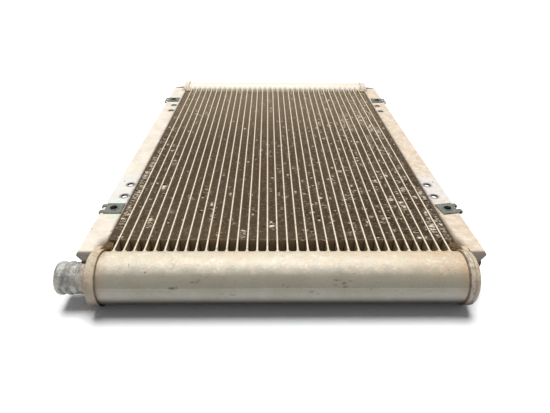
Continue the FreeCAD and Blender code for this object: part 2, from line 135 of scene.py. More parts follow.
# Scuffs through the front tank's paint: middle x and z, length along x, height, in mm.
SCUFFS = [
    (-106.5, -12.8, 5.0, 1.5, 1.0), (-102.8, -12.0, 1.2, 0.9, 1.0),
    (-85.5, -7.3, 5.0, 1.4, 0.6), (-80.8, -5.8, 2.5, 1.0, 0.5),
    (51.5, -5.6, 4.5, 0.9, 0.8), (58.0, -8.2, 2.6, 2.0, 0.6), (59.5, -11.5, 3.0, 1.2, 0.7),
    (50.0, -9.6, 2.0, 1.2, 0.5), (27.3, -16.6, 4.0, 1.6, 0.5), (63.6, -6.4, 2.0, 0.8, 0.5),
    (-149.0, 3.2, 1.3, 1.0, 0.9), (-132.8, 0.0, 1.5, 1.0, 0.8), (-48.9, -20.1, 3.5, 1.2, 0.6),
    (-59.4, -18.7, 2.6, 1.0, 0.5), (33.2, -18.9, 2.0, 1.4, 0.5), (85.0, -13.7, 2.0, 0.8, 0.6),
    (4.1, -11.5, 1.6, 1.0, 0.6), (139.8, -16.9, 2.4, 1.0, 0.4), (-0.7, -9.6, 1.4, 1.6, 0.4),
]


def linear(sheet_hex):
    """A colour written as sRGB hex, as linear red, green, blue and full alpha."""
    parts = [int(sheet_hex[i:i + 2], 16) / 255 for i in (1, 3, 5)]
    return (*(c / 12.92 if c <= 0.04045 else ((c + 0.055) / 1.055) ** 2.4 for c in parts), 1.0)


def colour(name, description, sheet_hex):
    return FloatVectorProperty(
        name=name, description=description, default=linear(sheet_hex), size=4,
        subtype="COLOR", min=0.0, max=1.0,
    )


def length(name, description, millimetres):
    return FloatProperty(
        name=name, description=description, default=millimetres * MM, min=0.0,
        subtype="DISTANCE", unit="LENGTH", precision=5,
    )


class CoolerCore(bpy.types.PropertyGroup):
    fold_step: length("Fold step", "Distance from one fin wall to the next", 1.9)
    foil: length("Foil", "Thickness of the fin foil, more than real so that it shows", 0.24)
    waver: length("Waver", "How far the folds wander out of line", 0.5)
    dent_depth: length("Dent depth", "How far a full dent pushes the fin edges down", 1.3)
    seed: IntProperty(name="Seed", description="Seed of the fold and dent pattern", default=7)
    braze_spread: length("Braze spread", "How far braze spreads beside a tube's root", 1.8)
    braze_reach: length("Braze reach", "How far braze climbs along a tube", 2.8)
    rear_extra: length("Rear extra", "How much further braze goes at the rear tank", 1.4)


class CoolerJoints(bpy.types.PropertyGroup):
    bead_swell: length("Bead swell", "Height of the lumps in a cap's weld bead", 0.95)
    cast_grain: length("Cast grain", "Height of the lumps on the cast stubs", 0.42)


class CoolerColours(bpy.types.PropertyGroup):
    paint: colour("Paint", "Silver-grey paint on the tanks", "#a8a498")
    dust: colour("Dust", "Dry cream dust on upper faces", "#cdc3ad")
    plate: colour("Plate", "Dusty aluminium of the side plates", "#dcd5c8")
    rust: colour("Rust", "Rust-coloured specks in the dust", "#a4683a")
    # Also used for painted shade on the side plates' bends next to the tanks.
    grime_and_shade: colour("Grime", "Brown dirt in corners", "#4c3823")
    fin: colour("Fins", "Dirty fin foil", "#8e775a")
    # Also used for painted glints on sound fin edges.
    foil_edge: colour("Bare foil", "Bare bright foil where fins are knocked flat", "#e6dccb")
    casting: colour("Casting", "Bare cast aluminium of the stubs", "#93928c")
    steel: colour("Spring steel", "Dark plated steel of the clip nuts", "#5a625d")
    marker: colour("Marker", "Green paint marks beside a clip nut", "#8fd8b8")


class CoolerStage(bpy.types.PropertyGroup):
    floor: colour("Floor", "Pale floor", "#f2f3f4")
    lamp: FloatProperty(name="Lamp", description="Strength of the overhead light", default=4.25)
    spread: FloatProperty(
        name="Spread", description="Angle across the overhead light",
        default=math.radians(36), subtype="ANGLE", unit="ROTATION",
    )
    lean: FloatProperty(
        name="Lean", description="How far the light leans in from behind",
        default=math.radians(15.5), subtype="ANGLE", unit="ROTATION",
    )
    fill: FloatProperty(name="Fill", description="Strength of the light all round", default=0.24)


# --- Materials ------------------------------------------------------------------------------


def per(millimetres):
    """The texture scale at which one feature is about that size."""
    return 1.0 / (millimetres * MM)


def add(tree, kind, inputs=None, **settings):
    """Adds a node. An input is a value for its socket, or a node or an output to link to it."""
    node = tree.nodes.new(kind)
    for name, value in settings.items():
        setattr(node, name, value)
    for key, value in (inputs or {}).items():
        if isinstance(value, bpy.types.Node):
            value = next(socket for socket in value.outputs if socket.enabled)
        if isinstance(value, bpy.types.NodeSocket):
            tree.links.new(value, node.inputs[key])
        else:
            node.inputs[key].default_value = value
    return node


def new_material(name):
    """An empty material, its tree, the object coordinates that its patterns follow, and the
    same coordinates without their signs, for patterns that mirror across the cooler."""
    material = bpy.data.materials.new(name)
    material.use_nodes = True
    tree = material.node_tree
    tree.nodes.clear()
    place = add(tree, "ShaderNodeTexCoord").outputs["Object"]
    mirrored = add(tree, "ShaderNodeVectorMath", {0: place}, operation="ABSOLUTE")
    return material, tree, place, mirrored


def close_material(tree, base, layers, roughness, metallic, bump, depth_mm, specular=0.5):
    """Lays each (mask, colour) over the base in turn, and ends the tree in its shader."""
    for mask, tint in layers:
        base = add(tree, "ShaderNodeMix", {0: mask, 6: base, 7: tint}, data_type="RGBA")
    relief = add(tree, "ShaderNodeBump", {"Height": bump, "Strength": 1.0,
                                          "Distance": depth_mm * MM})
    shader = add(tree, "ShaderNodeBsdfPrincipled", {
        "Base Color": base, "Roughness": roughness, "Metallic": metallic,
        "Specular IOR Level": specular, "Normal": relief,
    })
    add(tree, "ShaderNodeOutputMaterial", {"Surface": shader})


def grain(tree, place, size_mm, low, high, most=1.0, detail=4.0):
    """Noise with features of that size: 0 where it is under low, and most where over high."""
    cloud = add(tree, "ShaderNodeTexNoise", {"Vector": place, "Scale": per(size_mm),
                                             "Detail": detail, "Roughness": 0.55})
    return add(tree, "ShaderNodeMapRange", {"Value": cloud, 1: low, 2: high, 4: most})


def fade(tree, place, axis, start_mm, end_mm, most=1.0):
    """Along one axis, 0 before the start and most past the end, with soft ends."""
    at = add(tree, "ShaderNodeSeparateXYZ", {"Vector": place})
    return add(tree, "ShaderNodeMapRange", {
        "Value": at.outputs[axis], 1: start_mm * MM, 2: end_mm * MM, 4: most},
        interpolation_type="SMOOTHSTEP")


def spot(tree, place, middle_mm, reach_mm, turn=0.0, most=1.0):
    """A soft-edged patch round a point, with that reach along each axis."""
    near = add(tree, "ShaderNodeMapping", {
        "Vector": place, "Location": [c * MM for c in middle_mm], "Rotation": (0, 0, turn),
        "Scale": [c * MM for c in reach_mm]}, vector_type="TEXTURE")
    away = add(tree, "ShaderNodeVectorMath", {0: near}, operation="LENGTH")
    return add(tree, "ShaderNodeMapRange", {"Value": away, 1: 1.2, 2: 0.4, 4: most},
               interpolation_type="SMOOTHSTEP")


def ragged(tree, place, size_mm, reach_mm):
    """Coordinates pushed about by noise, so that an edge drawn on them is uneven."""
    push = add(tree, "ShaderNodeTexNoise", {"Vector": place, "Scale": per(size_mm)})
    return add(tree, "ShaderNodeVectorMath", {
        0: push.outputs["Color"], 1: (reach_mm * MM,) * 3, 2: place}, operation="MULTIPLY_ADD")


def painted_tank(colours):
    """Sprayed silver-grey aluminium paint, years in the open: a satin grey face below, a crust of
    pale dust with peach and rust specks on top, and a few scuffs to dark primer. Painted shade
    darkens a band across the upper front and the underside, and painted light makes the rear tank
    paler."""
    material, tree, place, mirrored = new_material("worn_silver_paint_on_tanks")
    uneven = ragged(tree, place, 9, 9)
    upper = fade(tree, uneven, "Z", 2, 11)
    painted_shade_band = fade(tree, place, "Z", 1, -3.5, 0.42)
    right = fade(tree, place, "X", 20, 150, fade(tree, uneven, "Z", 0, 9, 0.28))
    facing = fade(tree, place, "Y", -290, -296)
    torn = grain(tree, place, 1.6, 0.4, 0.56, facing)
    scuffs = [spot(tree, place, (mid_x, 0, mid_z), (long_mm, ENDLESS, tall_mm), 0.0, weight)
              for mid_x, mid_z, long_mm, tall_mm, weight in SCUFFS]
    worn = scuffs[0]
    for scuff in scuffs[1:]:
        worn = add(tree, "ShaderNodeMath", {0: worn, 1: scuff}, operation="MAXIMUM")
    worn = add(tree, "ShaderNodeMath", {0: worn, 1: torn}, operation="MULTIPLY")
    layers = [
        (grain(tree, place, 24, 0.35, 0.65, 0.5), linear("#96907f")),
        # Painted shade: a darker band across the tank's front above its middle.
        (fade(tree, place, "Z", -16, -11.5, painted_shade_band), linear("#726a52")),
        (fade(tree, uneven, "Z", 2, 11, 0.88), colours.dust),
        (grain(tree, place, 8, 0.42, 0.66, fade(tree, uneven, "Z", 1, 9, 0.3)),
         linear("#cdab84")),
        (fade(tree, place, "X", 90, 182, fade(tree, uneven, "Z", -6, 9, 0.6)), linear("#b09a7c")),
        (grain(tree, place, 9, 0.38, 0.62, right), linear("#cba67c")),
        (grain(tree, place, 3.4, 0.5, 0.68, grain(tree, place, 19, 0.42, 0.6, upper)),
         linear("#dcd3bf")),
        (grain(tree, place, 2.4, 0.655, 0.7, fade(tree, place, "Z", -14, 3, 0.45), 2.0),
         colours.rust),
        (grain(tree, place, 1.7, 0.65, 0.71, 0.42, 2.0), linear("#5d5240")),
        (grain(tree, place, 7, 0.3, 0.7, fade(tree, mirrored, "X", 169, 181, 0.65)),
         linear("#a87d52")),
        # Painted shade: the tank darkens towards its underside.
        (fade(tree, place, "Z", -20, -34, 0.93), linear("#1d1a15")),
        # Painted light: the rear tank is paler on its upper half.
        (fade(tree, place, "Y", 100, 200, fade(tree, uneven, "Z", 0, 9, 0.5)), linear("#e9e4d8")),
        (worn, linear("#423c31")),
    ]
    crust = grain(tree, place, 2.2, 0.35, 0.65, grain(tree, place, 14, 0.3, 0.7))
    close_material(tree, colours.paint, layers, 0.46, 0.0, crust, 0.22)
    return material


def painted_cap(colours):
    """The same paint on the caps, dustier, blotched brown where weld heat burnt it, and dark in
    the joints on both sides of the weld. Painted shade darkens their lower parts, and painted
    light makes the rear caps paler on top."""
    material, tree, place, mirrored = new_material("worn_silver_paint_on_caps")
    beside = fade(tree, place, "X", 187.3, 186.2, 0.4)
    on_bead = fade(tree, place, "X", 170, 180, fade(tree, place, "X", 187, 185.5, 0.4))
    layers = [
        (grain(tree, place, 13, 0.35, 0.65), linear("#a2988a")),
        (fade(tree, place, "X", 150, 180, 0.45), linear("#bcb0a4")),
        (fade(tree, place, "Z", -14, 3, 0.62), linear("#c6b79c")),
        (grain(tree, place, 6, 0.5, 0.68, 0.55), linear("#96704a")),
        (grain(tree, place, 2.6, 0.5, 0.62, on_bead), linear("#5f4e39")),
        (grain(tree, place, 1.8, 0.62, 0.68, 0.5, 2.0), colours.grime_and_shade),
        (fade(tree, mirrored, "X", 181.6, 180.8, 0.75), colours.grime_and_shade),
        (fade(tree, place, "X", 185, 186, beside), colours.grime_and_shade),
        # Painted shade: the caps darken towards the bottom.
        (fade(tree, place, "Z", -20, -38, 0.85), linear("#241f18")),
        # Painted light: the rear caps are paler on top.
        (fade(tree, place, "Y", 100, 200, fade(tree, place, "Z", -12, 3, 0.6)),
         linear("#e3dccd")),
    ]
    rough = grain(tree, place, 2.4, 0.3, 0.7)
    close_material(tree, linear("#9d9280"), layers, 0.6, 0.0, rough, 0.35)
    return material


def plate_finish(colours):
    """Rolled aluminium sheet gone chalky: near-white cream with pink-grey clouds, rust specks,
    brown grime against the core, and a thin dark sheared edge. Painted light and shade: a cool
    grey sheen across the front half, darker brown on the bends next to the tanks, a darker web
    that hangs below, and dark rings round the small mounting holes."""
    material, tree, place, mirrored = new_material("weathered_aluminium_sheet")
    by_tank = fade(tree, mirrored, "Y", 248, 271, 0.88)
    by_core = fade(tree, place, "Y", -190, -250, fade(tree, place, "X", -20, 20, 0.6))
    sheet_edge = fade(tree, place, "Z", -3.4, -2.1, 0.85)
    paint_marks = grain(tree, place, 2.5, 0.35, 0.55)
    layers = [
        (grain(tree, place, 22, 0.35, 0.65, 0.6), linear("#c3b6a6")),
        (grain(tree, place, 4.5, 0.38, 0.64, 0.2), linear("#ae9478")),
        (fade(tree, place, "X", -20, 20, 0.3), linear("#c4ad90")),
        (grain(tree, place, 8, 0.4, 0.66, fade(tree, place, "X", -20, 20, 0.55)),
         linear("#ae9478")),
        # Painted sheen: a cool grey band across both flanges around y = -150 mm.
        (spot(tree, place, (0, -150, 0), (ENDLESS, 46, ENDLESS), 0.0, 0.5), linear("#c9cdd0")),
        (grain(tree, place, 3.0, 0.6, 0.66, 0.12), colours.rust),
        (grain(tree, place, 3.0, 0.62, 0.68, fade(tree, place, "X", -20, 20, 0.4)),
         colours.rust),
        (fade(tree, mirrored, "X", 190, 183, 0.2), colours.grime_and_shade),
        # Painted shade: darker brown over the inner half of each flange end next to the tanks, on
        # the bend there.
        (fade(tree, mirrored, "X", 197, 186, by_tank), colours.grime_and_shade),
        (fade(tree, mirrored, "X", 191, 184, by_core), colours.grime_and_shade),
        (fade(tree, ragged(tree, mirrored, 5, 5), "X", 189.3, 186.6, 0.72), linear("#6b563d")),
        # Painted shade: everything below the flange's top face, its edges and the web under it, is
        # darker.
        (fade(tree, place, "Z", -0.4, -0.9, 0.9), linear("#938978")),
        (grain(tree, place, 9, 0.4, 0.66, fade(tree, place, "Z", -0.4, -0.9, 0.7)),
         linear("#6a5d49")),
        (fade(tree, place, "Z", -0.2, -0.6, sheet_edge), linear("#3d352a")),
        # Painted shade: a dark ring round each small mounting hole.
        *((spot(tree, mirrored, (*hole, 0), (7.0, 7.0, ENDLESS)), linear("#2a231b"))
          for hole in FLANGE_HOLES),
        (spot(tree, place, (-196, -181, 0), (4.5, 3, ENDLESS), 0.3, paint_marks), colours.marker),
        (spot(tree, place, (-192, -216, 0), (2, 4, ENDLESS), 0.0, paint_marks), colours.marker),
    ]
    # The chalky bloom is too fine to show, so it is drawn at 1.6 mm.
    rough = grain(tree, place, 1.6, 0.35, 0.65)
    close_material(tree, colours.plate, layers, 0.62, 0.0, rough, 0.16)
    return material


def tube_finish(colours):
    """Extruded aluminium under dry dust: cream along the exposed top edges, with painted shade
    turning the rounded sides brown, darker away from the tanks.
    """
    material, tree, place, mirrored = new_material("dusty_extruded_aluminium")
    between = fade(tree, place, "Z", -41.5, -36)
    away = fade(tree, mirrored, "Y", 268, 256, between)
    patchy = grain(tree, place, 5, 0.35, 0.65)
    layers = [
        (patchy, linear("#d2c2a6")),
        # Painted shade: the rounded sides below the top edge are brown, darker away from the tank
        # roots.
        (fade(tree, place, "Z", -0.08, -0.6, between), linear("#a08c6e")),
        (fade(tree, place, "Z", -0.08, -0.6, away), linear("#7d6a50")),
        (grain(tree, place, 2.4, 0.62, 0.68, 0.6, 2.0), colours.grime_and_shade),
    ]
    close_material(tree, linear("#e2d9c9"), layers, 0.5, 0.15, patchy, 0.15)
    return material


def fin_finish(colours):
    """Thin folded foil under baked-on brown dirt, with painted shade making it nearly black down
    in the folds, painted glints as pale specks along each upper edge, painted light on the rear of
    the core and the end folds, and bare bright foil where a fin is knocked over."""
    material, tree, place, mirrored = new_material("dirty_folded_foil")
    bare_foil_and_glints = add(tree, "ShaderNodeAttribute", attribute_name="bare_foil_and_glints").outputs["Fac"]
    upper = fade(tree, place, "Z", -2.5, -1.2)
    right = fade(tree, place, "X", -80, 120, fade(tree, place, "Z", -2.5, -1.2, 0.6))
    layers = [
        (grain(tree, place, 60, 0.35, 0.65, 0.7), linear("#8a7d69")),
        (grain(tree, place, 3.2, 0.4, 0.7, 0.5), linear("#b9a486")),
        # Painted light: the fins grow paler towards the rear.
        (fade(tree, place, "Y", -60, 230, 0.85), linear("#ccbb9f")),
        (fade(tree, place, "Y", -60, -240, fade(tree, place, "X", -120, 150, 0.5)),
         linear("#5c4a38")),
        # Painted shade: the foil darkens down in the folds.
        (fade(tree, place, "Z", -2, -9, 0.8), linear("#54442f")),
        # Painted light: the end folds next to each tank are paler.
        (fade(tree, mirrored, "Y", 255.5, 259.3, 0.75), linear("#b7a384")),
        (bare_foil_and_glints, colours.foil_edge),
        # Painted glints: pale specks along the fins' upper edges.
        (grain(tree, place, 2.6, 0.62, 0.7, upper, 2.0), linear("#d8ccb4")),
        (grain(tree, place, 2.4, 0.56, 0.66, right, 3.0), linear("#c4ac8c")),
    ]
    crumbs = grain(tree, place, 3.2, 0.4, 0.7)
    close_material(tree, colours.fin, layers, 0.6, 0.2, crumbs, 0.1)
    return material


def braze_finish(colours):
    """Braze metal and dust at the tube roots, the same cream as the tank beside it."""
    material, tree, place, _ = new_material("dusty_braze")
    layers = [
        (grain(tree, place, 4, 0.35, 0.65, 0.6), linear("#b39c7a")),
        # Painted shade: the fillets darken lower down in the gap between fins and tank.
        (fade(tree, place, "Z", -2, -12, 0.7), linear("#8a7353")),
        # Painted light: the fillets at the rear tank are paler.
        (fade(tree, place, "Y", 100, 200, 0.6), linear("#e9e0cd")),
    ]
    patchy = grain(tree, place, 4, 0.35, 0.65)
    close_material(tree, colours.dust, layers, 0.6, 0.0, patchy, 0.25)
    return material


def cast_finish(colours):
    """Sand-cast aluminium, never painted: a grey, grainy skin with black streaks of old
    hose rubber and oil, browned by weld heat next to the cap."""
    material, tree, place, _ = new_material("rough_cast_aluminium")
    by_cap = fade(tree, place, "X", -150, -180, 0.75)
    ring = fade(tree, place, "X", -219, -214, grain(tree, place, 6, 0.35, 0.55, 0.5))
    smear = add(tree, "ShaderNodeMapping", {"Vector": place, "Scale": (1.0, 0.4, 0.4)})
    layers = [
        (grain(tree, place, 8, 0.38, 0.62), linear("#bab8b2")),
        (grain(tree, smear, 5, 0.5, 0.64, 0.7), linear("#4d4c48")),
        (fade(tree, place, "X", -207, -211, ring), linear("#5a5853")),
        (fade(tree, place, "X", -203, -193, by_cap), linear("#8d7357")),
    ]
    # The sand's own grain is too fine to show, so it is drawn at 1.4 mm.
    sand = grain(tree, place, 1.4, 0.3, 0.7)
    close_material(tree, colours.casting, layers, 0.48, 0.35, sand, 0.4)
    return material


def weld_finish(colours):
    """Dark, crusted weld metal with rust in its hollows."""
    material, tree, place, _ = new_material("crusted_weld_metal")
    crust = grain(tree, place, 1.5, 0.35, 0.65)
    layers = [(crust, linear("#6e5335")), (grain(tree, place, 4, 0.5, 0.64, 0.5), colours.rust)]
    close_material(tree, linear("#2e251b"), layers, 0.75, 0.1, crust, 0.4)
    return material


def dirt_finish(colours):
    """Oily road dirt packed into a corner: brown beside the core, and dry cream dust over the
    rest. Painted light makes the lumps at the rear tank paler."""
    material, tree, place, mirrored = new_material("packed_oily_dirt")
    grit = grain(tree, place, 1.4, 0.45, 0.68)
    layers = [
        (grit, linear("#8c7454")),
        (fade(tree, ragged(tree, mirrored, 3, 4), "X", 186.5, 190.5, 0.9), linear("#cdbd9e")),
        # Painted light: the lumps at the rear tank are paler.
        (fade(tree, place, "Y", 100, 200, 0.75), linear("#cfc1a6")),
        (fade(tree, place, "Z", -1.5, -3, 0.8), linear("#3a2d1e")),
    ]
    close_material(tree, colours.grime_and_shade, layers, 0.9, 0.0, grit, 0.4, specular=0.2)
    return material


def clip_finish(colours):
    """Zinc-plated spring steel gone dark: green-grey with worn lighter edges and dust."""
    material, tree, place, _ = new_material("dark_plated_spring_steel")
    clouds = grain(tree, place, 5, 0.35, 0.65)
    layers = [
        (grain(tree, place, 5, 0.35, 0.65, 0.7), linear("#838a84")),
        (grain(tree, place, 1.6, 0.52, 0.64, 0.6), linear("#b3aa9a")),
    ]
    close_material(tree, colours.steel, layers, 0.42, 0.45, clouds, 0.15)
    return material


def floor_finish(stage):
    """Smooth white studio board."""
    material, tree, place, _ = new_material("white_studio_board")
    # The board's fibre is too fine to show, so it is drawn at 3 mm.
    fibre = grain(tree, place, 3, 0.3, 0.7, 0.1)
    layers = [(fibre, linear("#eeeff0"))]
    close_material(tree, stage.floor, layers, 0.85, 0.0, fibre, 0.02, specular=0.1)
    return material


# --- Making pieces --------------------------------------------------------------------------


def add_object(name, mesh):
    piece = bpy.data.objects.new(name, mesh)
    bpy.context.scene.collection.objects.link(piece)
    return piece


def mesh_from(name, points, faces):
    """A smooth mesh with flat ends, merged corners, and faces that point outwards."""
    mesh = bpy.data.meshes.new(name)
    mesh.from_pydata([tuple(p) for p in points], [], faces)
    shape = bmesh.new()
    shape.from_mesh(mesh)
    bmesh.ops.remove_doubles(shape, verts=shape.verts, dist=1e-6)
    bmesh.ops.recalc_face_normals(shape, faces=shape.faces)
    for face in shape.faces:
        face.smooth = len(face.verts) < 5
    shape.to_mesh(mesh)
    shape.free()
    return mesh


def settle(piece, slot, *nodes):
    """Hangs a finished piece on the cooler, in place of the nodes that it stands for."""
    if nodes:
        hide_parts(*nodes)
    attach(piece, BODY)


def dress(nodes, material):
    """Gives CAD nodes a finish."""
    for name in nodes:
        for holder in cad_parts[name].material_slots:
            holder.material = material


def copies_tree():
    """Geometry Nodes: copies of one small shape in rows across and along the core."""
    tree = bpy.data.node_groups.new("Rows of copies", "GeometryNodeTree")
    face = tree.interface
    for label, kind, way in (
        ("Shape", "NodeSocketGeometry", "INPUT"), ("Across", "NodeSocketInt", "INPUT"),
        ("Across step", "NodeSocketFloat", "INPUT"), ("Along", "NodeSocketInt", "INPUT"),
        ("Along step", "NodeSocketFloat", "INPUT"), ("Start", "NodeSocketVector", "INPUT"),
        ("Waver", "NodeSocketFloat", "INPUT"), ("Seed", "NodeSocketFloat", "INPUT"),
        ("Finish", "NodeSocketMaterial", "INPUT"), ("Rows", "NodeSocketGeometry", "OUTPUT"),
    ):
        face.new_socket(label, in_out=way, socket_type=kind)
    given = add(tree, "NodeGroupInput").outputs
    step_x = add(tree, "ShaderNodeCombineXYZ", {"X": given["Across step"]})
    step_y = add(tree, "ShaderNodeCombineXYZ", {"Y": given["Along step"]})
    along = add(tree, "GeometryNodeMeshLine", {
        "Count": given["Along"], "Start Location": given["Start"],
        "Offset": step_y})
    across = add(tree, "GeometryNodeMeshLine", {
        "Count": given["Across"], "Offset": step_x})
    spots = add(tree, "GeometryNodeInstanceOnPoints", {
        "Points": across, "Instance": along})
    spots = add(tree, "GeometryNodeRealizeInstances", {"Geometry": spots})
    copies = add(tree, "GeometryNodeInstanceOnPoints", {
        "Points": spots, "Instance": given["Shape"]})
    solid = add(tree, "GeometryNodeRealizeInstances", {"Geometry": copies})
    joined = add(tree, "GeometryNodeMergeByDistance", {
        "Geometry": solid, "Distance": 1e-6})
    where = add(tree, "GeometryNodeInputPosition")
    drift = add(tree, "ShaderNodeTexNoise", {
        "Vector": where, "W": given["Seed"], "Scale": per(9), "Detail": 1.0},
        noise_dimensions="4D")
    middle = add(tree, "ShaderNodeVectorMath", {0: drift.outputs["Color"],
                                                1: (0.5, 0.5, 0.5)}, operation="SUBTRACT")
    level = add(tree, "ShaderNodeVectorMath", {0: middle, 1: (0.0, 1.0, 0.0)},
                operation="MULTIPLY")
    shift = add(tree, "ShaderNodeVectorMath", {0: level, "Scale": given["Waver"]},
                operation="SCALE")
    moved = add(tree, "GeometryNodeSetPosition", {
        "Geometry": joined, "Offset": shift})
    solid = add(tree, "GeometryNodeRealizeInstances", {"Geometry": moved})
    painted = add(tree, "GeometryNodeSetMaterial", {
        "Geometry": solid, "Material": given["Finish"]})
    add(tree, "NodeGroupOutput", {"Rows": painted})
    return tree


def make_rows(name, shape, tree, **inputs):
    """Runs the rows tree on a shape, and returns the plain result as a piece."""
    source = add_object(name, shape)
    rows = source.modifiers.new("Rows", "NODES")
    rows.node_group = tree
    sockets = {item.name: item.identifier for item in tree.interface.items_tree}
    for label, value in inputs.items():
        rows[sockets[label.replace("_", " ")]] = value
    bpy.context.view_layer.update()
    ready = source.evaluated_get(bpy.context.evaluated_depsgraph_get())
    mesh = bpy.data.meshes.new_from_object(ready)
    source.modifiers.remove(rows)
    source.data = mesh
    mesh.name = name
    return source


def fold_shape(half_width, step, foil, levels):
    """One fold of foil: a wall across, a rounded crest, the wall back, and its crest."""
    inset = half_width - FOLD_CREST
    third = inset / 3
    line = [(-inset, 0), (-third, 0), (third, 0), (inset, 0), (half_width, step / 2),
            (inset, step), (third, step), (-third, step), (-inset, step),
            (-half_width, step * 1.5), (-inset, step * 2)]
    line = [Vector(p) for p in line]
    before = line[-2] - Vector((0, step * 2))
    after = line[1] + Vector((0, step * 2))
    whole = [before, *line, after]
    sides = ([], [])
    for i, point in enumerate(line, start=1):
        first = (whole[i] - whole[i - 1]).normalized()
        second = (whole[i + 1] - whole[i]).normalized()
        square = Vector((-(first + second).y, (first + second).x)).normalized()
        reach = foil / 2 / max(0.5, square.dot(Vector((-first.y, first.x))))
        sides[0].append(point + square * reach)
        sides[1].append(point - square * reach)
    points = [(p.x, p.y, z) for z in levels for side in sides for p in side]
    count = len(line)
    faces = []
    for i in range(count - 1):
        for level in range(len(levels) - 1):
            low = level * 2 * count
            high = low + 2 * count
            faces.append((low + i, high + i, high + i + 1, low + i + 1))
            j = i + count
            faces.append((low + j, low + j + 1, high + j + 1, high + j))
        top = (len(levels) - 1) * 2 * count
        faces.append((top + i, top + count + i, top + count + i + 1, top + i + 1))
        faces.append((i, i + 1, count + i + 1, count + i))
    mesh = bpy.data.meshes.new("fold")
    mesh.from_pydata(points, [], faces)
    return mesh


def dent_fins(piece, top, depth, seed):
    """Pushes the fins' upper edges over in the dents, and marks bare foil there and painted glints
    on sound folds.
    """
    mesh = piece.data
    count = len(mesh.vertices)
    flat = np.empty(count * 3)
    mesh.vertices.foreach_get("co", flat)
    spots = flat.reshape(-1, 3)
    x, y, z = spots[:, 0] / MM, spots[:, 1] / MM, spots[:, 2]
    upper = z > top - FIN_EDGE

    def chance(stretch_x, stretch_y, salt):
        """A steady random number from 0 to 1 for each small cell of the core's face."""
        mix = np.sin(np.floor(x / stretch_x) * 12.9898 + np.floor(y / stretch_y) * 78.233
                     + (seed + salt) * 37.719) * 43758.5453
        return mix - np.floor(mix)

    push = np.zeros(count)
    for mid_x, mid_y, reach_x, reach_y, weight in DENTS:
        away = ((x - mid_x) / reach_x) ** 2 + ((y - mid_y) / reach_y) ** 2
        push = np.maximum(push, weight * np.clip(1.5 - away, 0, 1))
    # Single knocked folds: a few everywhere, and more towards the right end, at the left
    # end and by the front right corner.
    wild = chance(3.5, 5.7, 1)
    to_right = np.clip((x + 60) / 180, 0, 1)
    to_left = np.clip(-(x + 120) / 50, 0, 1)
    crowd = 0.02 + 0.1 * to_right + 0.07 * to_left
    crowd = np.where((x > 135) & (y < -95), crowd + 0.08, crowd)
    push = np.maximum(push, np.where(wild < crowd, 0.75, 0))
    lean = chance(2.6, 1.9, 2) * 2 - 1
    spots[upper, 1] += (lean * push * FIN_LEAN)[upper]
    spots[upper, 2] -= (push * chance(2.6, 3.8, 3) * depth)[upper]
    bare_foil_and_glints = np.where(chance(2.6, 1.9, 4) > 0.62, push * 1.1, 0)
    # Bare foil: in the dents and in the bright knocks; painted glints: small bright specks among
    # sound folds.
    glint = 0.025 + 0.07 * to_right + 0.05 * to_left
    bare_foil_and_glints = np.where(chance(1.3, 1.9, 6) < glint, 0.6, bare_foil_and_glints)
    for mid_x, mid_y, reach in KNOCKS:
        away = np.hypot(x - mid_x, y - mid_y) / reach
        bare_foil_and_glints = np.maximum(bare_foil_and_glints, np.clip(1.6 - away, 0, 1) * (chance(2.6, 1.9, 5) > 0.25))
    mesh.vertices.foreach_set("co", spots.ravel())
    marks = mesh.attributes.new("bare_foil_and_glints", "FLOAT", "POINT")
    marks.data.foreach_set("value", np.where(upper, np.clip(bare_foil_and_glints * 0.8, 0, 1), 0))
    mesh.update()


def close_ends(piece):
    """Closes the open ends of each strip."""
    shape = bmesh.new()
    shape.from_mesh(piece.data)
    rim = [edge for edge in shape.edges if edge.is_boundary]
    bmesh.ops.holes_fill(shape, edges=rim, sides=0)
    bmesh.ops.recalc_face_normals(shape, faces=shape.faces)
    shape.to_mesh(piece.data)
    shape.free()


def flare_shape(side, spread, reach):
    """The concave fillet of braze round one tube's root, at one tank (side is -1 or 1)."""
    low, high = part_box(TUBES[0])
    half_width = (high[0] - low[0]) / 2
    half_height = (high[2] - low[2]) / 2
    middle = (high[2] + low[2]) / 2
    axis_y = abs(FRONT_AXIS.y)
    straight = half_height - half_width
    ring = [(half_width, z * straight, 1.0, 0.0) for z in (-1, -0.8, -0.5, 0, 0.5, 0.8)]
    for angle in (0, 45, 90, 135, 180):
        away = (math.cos(math.radians(angle)), math.sin(math.radians(angle)))
        ring.append((half_width * away[0], straight + half_width * away[1], *away))
    ring += [(-half_width, -z * straight, -1.0, 0.0) for z in (-0.8, -0.5, 0, 0.5, 0.8)]
    for angle in (180, 225, 270, 315):
        away = (math.cos(math.radians(angle)), math.sin(math.radians(angle)))
        ring.append((half_width * away[0], -straight + half_width * away[1], *away))
    points, faces = [], []
    stages = 4
    for stage in range(stages + 1):
        turn = math.radians(90 * stage / stages)
        out = spread * (1 - math.cos(turn)) + BRAZE_LIFT
        along = reach * (1 - math.sin(turn)) - BRAZE_SINK * (stage == stages)
        for a, b, out_x, out_z in ring:
            px, pz = a + out * out_x, b + out * out_z * 0.7
            hill = math.sqrt(max(0.0, TANK_RADIUS ** 2 - min(abs(pz), TANK_RADIUS) ** 2))
            points.append((px, side * (axis_y - hill - along), middle + pz))
    around = len(ring)
    for stage in range(stages):
        for i in range(around):
            j = (i + 1) % around
            a, b = stage * around, (stage + 1) * around
            faces.append((a + i, a + j, b + j, b + i))
    faces += [tuple(range(around)), tuple(range(stages * around, (stages + 1) * around))]
    return mesh_from("flare", points, faces)


